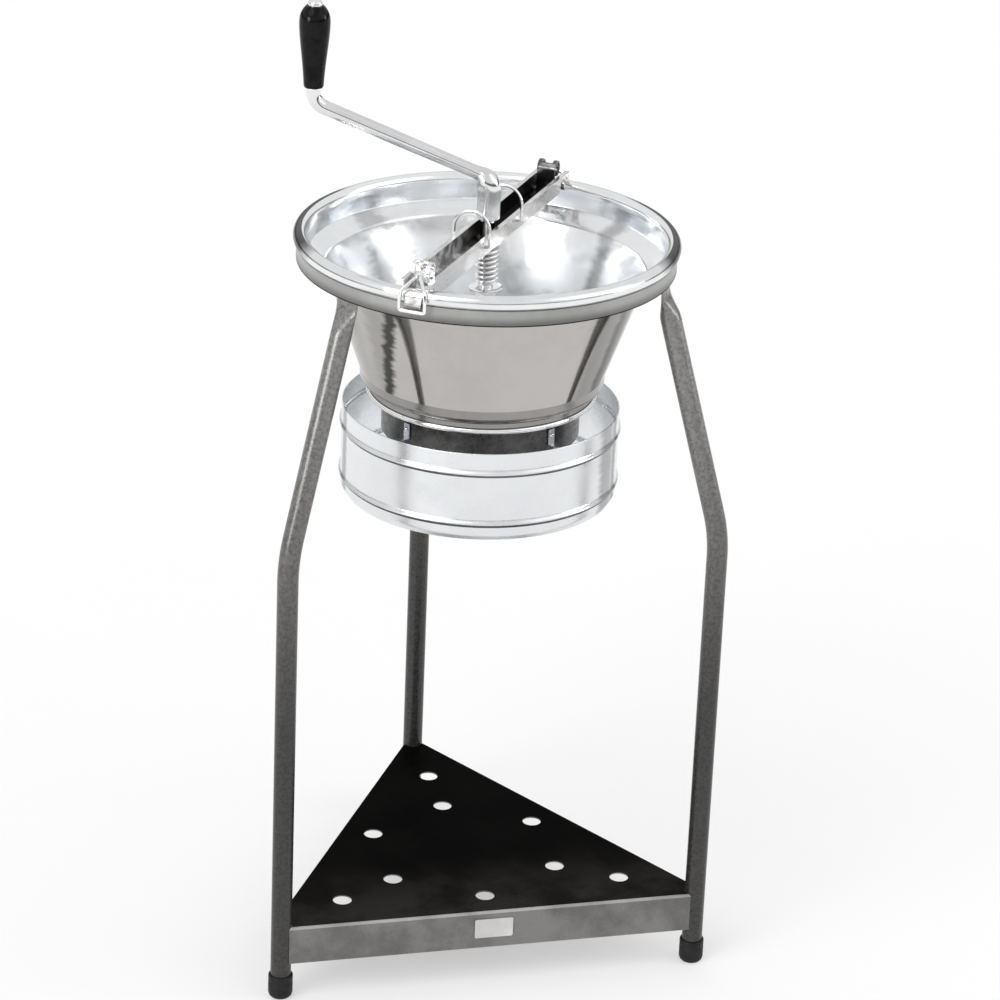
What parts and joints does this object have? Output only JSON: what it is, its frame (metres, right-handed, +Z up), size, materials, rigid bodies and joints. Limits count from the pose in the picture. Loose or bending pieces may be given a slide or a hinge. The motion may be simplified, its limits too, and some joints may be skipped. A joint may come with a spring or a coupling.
{
  "type": "food mill on stand",
  "caption": "Large hand-cranked food mill: a tinned hopper with a sprung crank under a latched crossbar, a sieve and a skirt, in the hoop of a three-legged tube stand with a drilled tray.",
  "frame": {"origin": "on the floor under the middle of the object's bounding box; the crank's axis stands 38 mm in front of it, at y -0.038", "axes": "+Z up; +Y towards the back leg; +X to the right of a person who faces the badge side of the tray"},
  "size_m": [0.4818, 0.4757, 1.0443],
  "materials": {
    "tinned_steel": "bright tinned sheet steel",
    "dull_tinned_steel": "dull tinned sheet steel",
    "bright_steel": "bright tinned wire, rod and strip",
    "brass": "turned, dulled",
    "grey_painted_steel": "dark grey hammered paint",
    "hoop_grey_paint": "mid grey paint",
    "black_painted_steel": "black satin paint",
    "black_rubber": "moulded",
    "black_gloss_plastic": "polished",
    "pale_aluminium": "blank plate"
  },
  "bodies": {
    "stand": {"leg_front_left": "grey_painted_steel", "leg_front_right": "grey_painted_steel", "leg_back": "grey_painted_steel", "foot_front_left": "black_rubber", "foot_front_right": "black_rubber", "foot_back": "black_rubber", "stand_hoop": "hoop_grey_paint", "base_tray": "black_painted_steel", "blank_badge": "pale_aluminium"},
    "mill": {"hopper": "tinned_steel", "neck_collar": "dull_tinned_steel", "sieve_disc": "tinned_steel", "skirt": "tinned_steel", "skirt_strap_1": "tinned_steel", "skirt_strap_2": "tinned_steel", "skirt_strap_3": "tinned_steel", "skirt_strap_4": "tinned_steel", "neck_rivet_1": "bright_steel", "neck_rivet_2": "bright_steel", "neck_rivet_3": "bright_steel", "neck_rivet_4": "bright_steel", "skirt_rivet_1": "bright_steel", "skirt_rivet_2": "bright_steel", "skirt_rivet_3": "bright_steel", "skirt_rivet_4": "bright_steel", "crossbar": "bright_steel", "bearing_bush": "brass", "spring_top_washer": "bright_steel", "bar_hoop_front": "bright_steel", "bar_hoop_rear": "bright_steel", "latch_eye_front": "bright_steel", "latch_eye_rear": "bright_steel", "eye_rivet_front": "bright_steel", "eye_rivet_rear": "bright_steel", "catch_front": "bright_steel", "catch_rear": "bright_steel", "spring": "bright_steel"},
    "seat": {"spring_seat": "bright_steel"},
    "crank": {"crank_rod": "bright_steel", "shaft_collar": "bright_steel", "grip_washer": "bright_steel", "grip_nut": "bright_steel", "blade_hub": "bright_steel", "blade_pin": "bright_steel", "press_blade": "tinned_steel"},
    "handle": {"grip": "black_gloss_plastic"},
    "loop_front": {"latch_loop_front": "bright_steel"},
    "loop_rear": {"latch_loop_rear": "bright_steel"}
  },
  "joints": [
    {"name": "hopper_lift", "type": "slide", "parent": "stand", "child": "mill", "axis": [0, 0, 1], "range_m": [0, 0.1]},
    {"name": "seat_travel", "type": "slide", "parent": "mill", "child": "seat", "axis": [0, 0, 1], "range_m": [0, 0.006], "stiffness_N_per_m": 3000, "springref_m": -0.01, "deforming": ["spring"]},
    {"name": "crank_spin", "type": "hinge", "parent": "seat", "child": "crank", "pos_m": [0, -0.038, 0.74], "axis": [0, 0, 1], "continuous": true},
    {"name": "grip_spin", "type": "hinge", "parent": "crank", "child": "handle", "pos_m": [-0.17628, 0.00726, 0.99], "axis": [0, 0, 1], "continuous": true},
    {"name": "latch_swing_front", "type": "hinge", "parent": "mill", "child": "loop_front", "pos_m": [-0.10229, -0.18684, 0.8195], "axis": [-0.8241, 0.5664, 0], "range_deg": [0, 110]},
    {"name": "latch_swing_rear", "type": "hinge", "parent": "mill", "child": "loop_rear", "pos_m": [0.10229, 0.11084, 0.8195], "axis": [0.8241, -0.5664, 0], "range_deg": [0, 110]}
  ]
}
